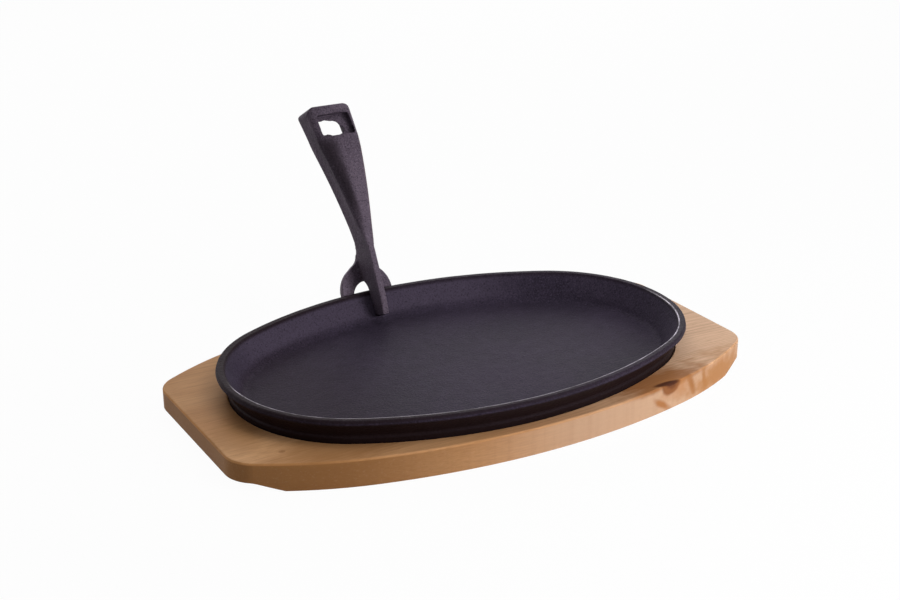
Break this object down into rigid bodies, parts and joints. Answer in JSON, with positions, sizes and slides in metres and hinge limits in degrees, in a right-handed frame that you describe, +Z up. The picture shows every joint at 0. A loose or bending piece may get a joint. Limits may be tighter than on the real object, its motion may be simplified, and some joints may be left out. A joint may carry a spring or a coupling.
{
  "type": "sizzle platter",
  "caption": "Oval cast-iron sizzle pan seated in a wooden carrying board, with a lift-off iron grip hooked on its back rim.",
  "frame": {"origin": "the middle of the wooden board's underside, on the table", "axes": "+X along the board's length, to the right in the picture; +Y towards the side the grip is hooked on; +Z up"},
  "size_m": [0.3208, 0.252, 0.1334],
  "materials": {
    "board_wood": "sanded, lightly oiled",
    "pan_iron": "fine cast texture, satin, rim worn bright",
    "grip_iron": "fine cast texture, satin"
  },
  "bodies": {
    "root": {"wooden_board": "board_wood", "oval_platter": "pan_iron", "grip_handle": "grip_iron"}
  },
  "joints": []
}
